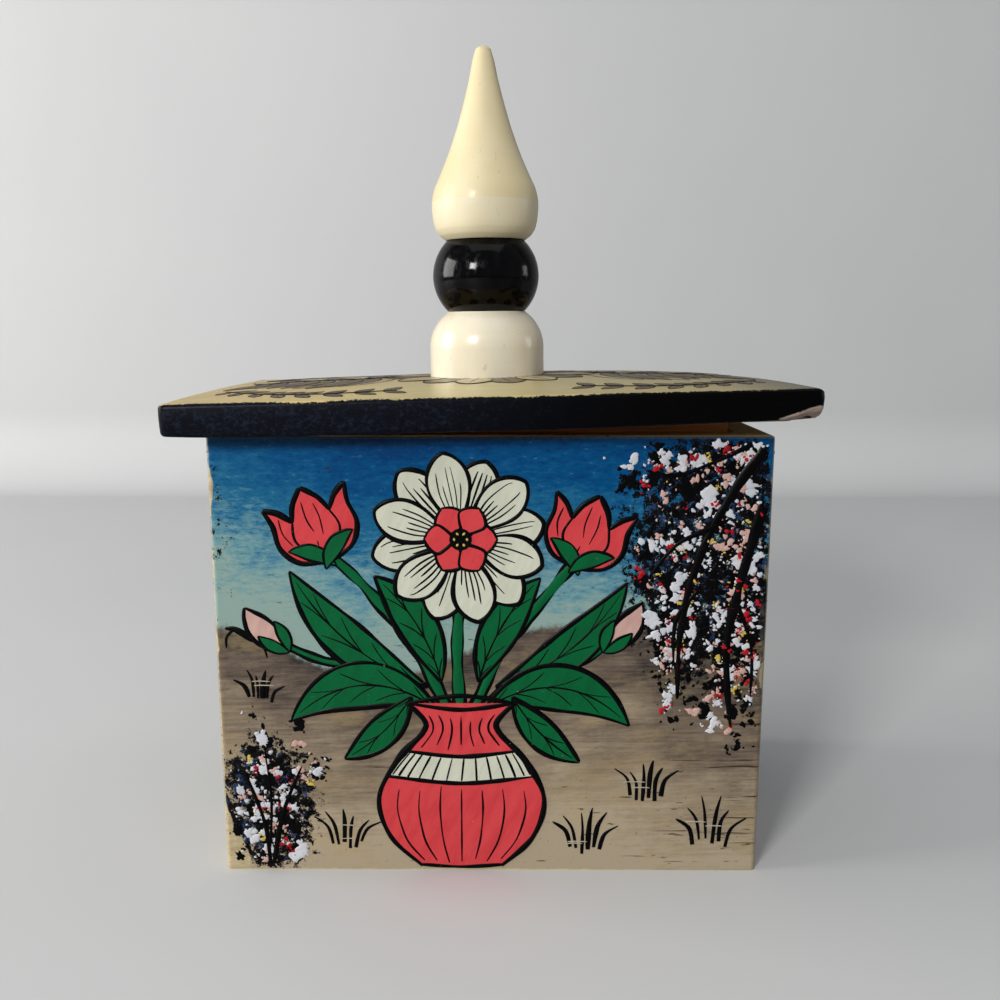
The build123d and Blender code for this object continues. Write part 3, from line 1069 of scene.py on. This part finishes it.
def paintFront():
    turnTo("Front", 11)
    addTwigs((
        ((31, 51.6), (27.5, 46.5), (24.2, 39.5), (22.2, 31), (22, 22)),
        ((31.1, 45), (29.2, 37.5), (27.6, 28.5), (28.4, 18.5)),
        ((29.6, 52.2), (25, 50), (21, 48.6), (17.6, 49.2)),
        ((25.6, 42.6), (21.4, 40.6), (18.2, 36.6)),
        ((28.4, 34), (30.4, 28.6), (30.6, 22.4)),
        ((24, 35.2), (21.6, 31.6), (21.4, 26.6)),
    ))
    addTwigs((
        ((-26.8, 0.9), (-27.4, 6.5), (-29.6, 13)), ((-26.4, 0.9), (-25, 7.5), (-22.6, 13.4)),
        ((-26.8, 3), (-26.4, 9), (-27, 16)),
    ), 0.75, 0.7)
    for spots in (
        ((-5, 20.5), (-9, 28.5), (-14.5, 35.5), (-18.3, 39.2)),
        ((-2, 20.5), (1.5, 28), (6.5, 34.5), (9.6, 38.4)),
        ((-3.6, 20.5), (-3.9, 28), (-3.4, 36)),
    ):
        addStem(spots)
    addStem(((-6, 20.8), (-13, 25.4), (-19.6, 26.6), (-24.2, 28.6)), 0.6)
    addStem(((-1, 20.8), (4.4, 25), (10.2, 26.4), (13.8, 28.6)), 0.6)
    for root, tip, bend, width, layer, veins in (
        ((-5.8, 24), (-13.4, 36.8), -1.2, 4.6, 2, 4), ((-1.4, 24), (5.8, 36.6), 1, 4.4, 2, 4),
        ((-7.4, 23.4), (-23.2, 37.4), 2, 4.8, 3, 4), ((0.6, 23.4), (15.8, 36), -2, 4.6, 3, 4),
        ((-6.4, 20.8), (-23.6, 19.2), -3.6, 5.6, 4, 4), ((-0.6, 20.8), (16.4, 18.6), 3.6, 5.6, 4, 4),
        ((-9.4, 22.2), (-17.4, 14.4), 0.8, 3.6, 5, 3), ((2.6, 22.2), (10.6, 14), -0.8, 3.6, 5, 3),
    ):
        addLeaf(root, tip, bend, width, layer=layer, veins=veins)
    for root, tip, bend in (((-23.8, 28), (-28.6, 33), 0.5), ((13.4, 28), (17.6, 33.6), -0.5)):
        root, tip = Vector(root), Vector(tip)
        addLeaf(root, tip, bend, 3, "pink", 3, 0)
        along = tip - root
        for side, above in ((-1, 5), (1, 7)):
            sepal = root + along * 0.5 + along.orthogonal().normalized() * side * 1.3
            addLeaf(root - along * 0.06, sepal, 0.3 * side, 1.4, layer=above, veins=0, line=ink["sepal"])
    addTulip((-18.6, 38.6), 7.6, -20, layer=5)
    addTulip((9.8, 37.8), 7.4, 18, layer=5)
    addFlower((-3.4, 41.2), 10, 12, "white", "coral", 5)
    addJar(-3.5)
    addTufts((
        ((-17.4, 3.2), 5), ((11.4, 2.6), 5.2), ((18.6, 9.4), 5.4), ((26.4, 3.6), 5.8),
        ((-27.2, 21.8), 3.8),
    ))
    addCrest(-31, -24.6)
    addCrest(11.6, 17)


def paintSide(face, mirror, seed):
    turnTo(face, seed)

    def put(*spots):
        return [(mirror * u, v) for u, v in spots]

    addTwigs((
        put((-19, 51.4), (-15.5, 45.5), (-12.4, 38), (-12, 29)),
        put((-16, 52.2), (-9.5, 49), (-4, 47.6)),
        put((-14.2, 43), (-16.6, 35), (-17.2, 26)),
    ), 0.8)
    for foot, lean, bend in (((1.2, 22), -8, -1.4), ((6.4, 26.4), 4, 1.2), ((11.4, 20.4), 14, 2.2)):
        foot = (foot[0] + between(-1.2, 1.2), foot[1] + between(-3, 3))
        root = (6 + 0.2 * (foot[0] - 6), 1)
        middle = ((root[0] + foot[0]) / 2 - bend * 0.4, (root[1] + foot[1]) / 2)
        addStem(put(root, middle, foot), 0.8)
        addTulip(put(foot)[0], between(5.4, 6.4), lean * mirror)
    for root, tip, bend in (
        ((5, 1.4), (-5, 12.4), -1.2), ((7, 1.4), (16.6, 11.6), 1.2), ((5.6, 3), (0.6, 17.6), -1),
    ):
        addLeaf(*put(root, tip), -bend * mirror, 3.8, layer=3)
    addTufts(zip(put((-13, 3.4), (-8.4, 12), (14.4, 15.2)), (5, 4.2, 3.8)))


def paintBack():
    turnTo("Back", 31)
    addTwigs((
        ((20, 1), (20.6, 16), (19, 30), (21.5, 46)),
        ((20.4, 14), (25, 27), (28.4, 41)),
        ((19.6, 24), (14, 35), (11.6, 45)),
        ((24.4, 26), (29.2, 30), (30.4, 35)),
        ((17, 30), (11.4, 31.4), (7.4, 36)),
        ((20.4, 38), (16.4, 45), (15.6, 50.6)),
    ))
    for foot, lean, size in (((-23.4, 27), -14, 7), ((-15.4, 32.4), -2, 7.6), ((-7.6, 26.4), 10, 7)):
        root = (-15 + 0.15 * (foot[0] + 15), 1)
        middle = ((root[0] + foot[0]) / 2 + 0.25 * (foot[0] + 15), (root[1] + foot[1]) / 2)
        addStem((root, middle, foot), 1)
        addTulip(foot, size, lean)
    for root, tip, bend in (
        ((-16, 1.4), (-29.4, 14), 1.8), ((-14, 1.4), (-1.4, 13.4), -1.8),
        ((-15.6, 3), (-24.6, 20), 1.4), ((-14.6, 3), (-6, 19.4), -1.4),
    ):
        addLeaf(root, tip, bend, 4.6, layer=3)
    addTufts((((4.4, 3.2), 5.2), ((12, 7.6), 4.6), ((27, 3), 5.2), ((2, 15.4), 4.2)))


# A rosette round the finial, two leafy garlands that run out from it, and sprigs at the corners
lidPicture = {
    "petals": 16,
    "petalReach": (6.6, 13.6),
    "petalWidth": 4.4,
    "stem": ((12.5, 0.6), (18, -1.2), (24, 1), (31, -0.3)),
    "leaves": 9,
    "leafReach": (5.6, 12.4),  # along the lid and across it, for the first pair
    "leafShrink": 0.045,  # from each pair to the next
    "leafWidth": 3.6,
    "branch": ((32, 10.6), (27, 16), (20, 18.6), (10.6, 17.4)),
    "branchLeaves": 8,
    "branchLeaf": 3.4,
}


def addLidLeaf(root, tip, bend, width, fill, fullness=0.9, layer=0):
    spine, left, right = addShape(fill, layer, root, tip, bend, width, fullness)
    for edge in (left, right):
        addStroke(thinned(edge), ink["vein"], 0.8, 0.3, layer + 1)
    addStroke(thinned(spine[2:-5]), ink["fine"], 0.8, 0.2, layer + 1)


def paintLid():
    turnTo("Lid", 41)
    look = lidPicture
    for side in (-1, 1):
        stem = [(side * u, v) for u, v in look["stem"]]
        walk = curve(stem)
        for leaf in range(look["leaves"]):
            spot = walk[int((leaf + 0.3) / (look["leaves"] + 0.3) * len(walk))]
            for up in (-1, 1):
                reach = Vector((side * look["leafReach"][0], up * look["leafReach"][1]))
                reach = reach * (1 - look["leafShrink"] * leaf) * between(0.94, 1.04)
                fill = "wash" if (leaf + (up > 0)) % 3 else "pale"
                addLidLeaf(spot, spot + reach, 0.9 * up * side, look["leafWidth"], fill, layer=leaf % 3)
        addStroke(stem, ink["vein"] * 1.8, 0.9, 0.3, 6)
        for up in (-1, 1):
            branch = curve([(side * u, up * v) for u, v in look["branch"]])
            for leaf in range(look["branchLeaves"]):
                index = int((leaf + 0.5) / look["branchLeaves"] * (len(branch) - 2))
                spot, onward = branch[index], (branch[index + 1] - branch[index]).normalized()
                for turn in (-48, 48):
                    tip = spot + Matrix.Rotation(radians(turn), 2) @ onward * look["branchLeaf"]
                    addLidLeaf(spot, tip, 0, 1.5, "wash", layer=leaf % 2)
            addStroke(thinned(branch), ink["vein"] * 1.5, 0.4, 0.3, 5)
    near, far = look["petalReach"]
    for petal in range(look["petals"]):
        out = toward(2 * pi * petal / look["petals"] + 0.2)
        fill, layer = ("pale", 5) if petal % 2 else ("wash", 3)
        addLidLeaf(out * near, out * far, 0, look["petalWidth"], fill, 0.6, layer)


def makeCoats():
    for (face, colour), (points, faces, flat) in coats.items():
        name, body = "paint" + face + colour.capitalize(), "lid" if face == "Lid" else "box"
        piece = makePiece(name, points, faces + flat, enamels[colour], body)
        piece.data.polygons.foreach_set("use_smooth", [True] * len(faces) + [False] * len(flat))


paintFront()
paintSide("Left", -1, 21)
paintSide("Right", 1, 23)
paintBack()
paintLid()
makeCoats()
print("painting laid on")


# Floor and backdrop: one pale sheet with a bend where the photograph's floor ends
stage = {"width": 3, "front": -1.6, "bend": 0.272, "bendRadius": 0.03, "height": 1.6}


def makeSheetFinish():
    newFinish("paleSheet")
    drift = grain(0.5, 3, stretch=(40, 40, 40))
    pale = mixed(drift, (206, 207, 208), (214, 215, 215))
    direct = add("LightPath")["Is Camera Ray"]
    return surface(mixed(direct, (150, 150, 152), pale), 0.6)


def makeStage():
    reach, radius, bend = stage["width"] / 2, stage["bendRadius"], stage["bend"]
    profile = [(stage["front"], 0)]
    for angle in range(0, 91, 10):
        profile.append((bend - radius * (1 - sin(radians(angle))), radius * (1 - cos(radians(angle)))))
    profile.append((bend, stage["height"]))
    points = [(x, y, z) for y, z in profile for x in (-reach, reach)]
    faces = [(2 * step, 2 * step + 1, 2 * step + 3, 2 * step + 2) for step in range(len(profile) - 1)]
    newMesh("paleSheet", points, faces, makeSheetFinish())


# Lamps, each named for where it stands: place in metres, watts, size of its window, and tint
lamps = {
    "leftWindow": ((-0.62, -0.02, 0.22), 2.8, (0.34, 0.32), (1, 0.98, 0.94)),
    "frontLamp": ((-0.33, -0.62, 0.34), 3.3, (0.16, 0.16), (1, 0.99, 0.97)),
    "rightReturn": ((0.60, 0.06, 0.16), 0.24, (0.14, 0.16), (0.95, 0.98, 1)),
    "topSheet": ((0, -0.05, 0.9), 1.7, (0.9, 0.9), (1, 1, 1)),
}
lampAim = Vector((0, 0, 0.05))


def makeLamps():
    for name, (place, watts, size, tint) in lamps.items():
        lamp = bpy.data.lights.new(name, "AREA")
        lamp.shape = "RECTANGLE"
        lamp.size, lamp.size_y = size
        lamp.energy = watts
        lamp.color = tint
        holder = newObject(name, lamp)
        holder.location = place
        holder.rotation_euler = (lampAim - Vector(place)).to_track_quat("-Z", "Y").to_euler()
    # The room is dim, but pale where the camera looks past the sheet
    room = bpy.data.worlds.new("room")
    room.use_nodes = True
    mixing["tree"] = room.node_tree
    direct = add("LightPath")["Is Camera Ray"]
    light = room.node_tree.nodes["Background"].inputs["Color"]
    room.node_tree.links.new(mixed(direct, [0.193, 0.2, 0.21, 1], (196, 197, 199)), light)
    scene.world = room


makeStage()
makeLamps()
print("stage lit")
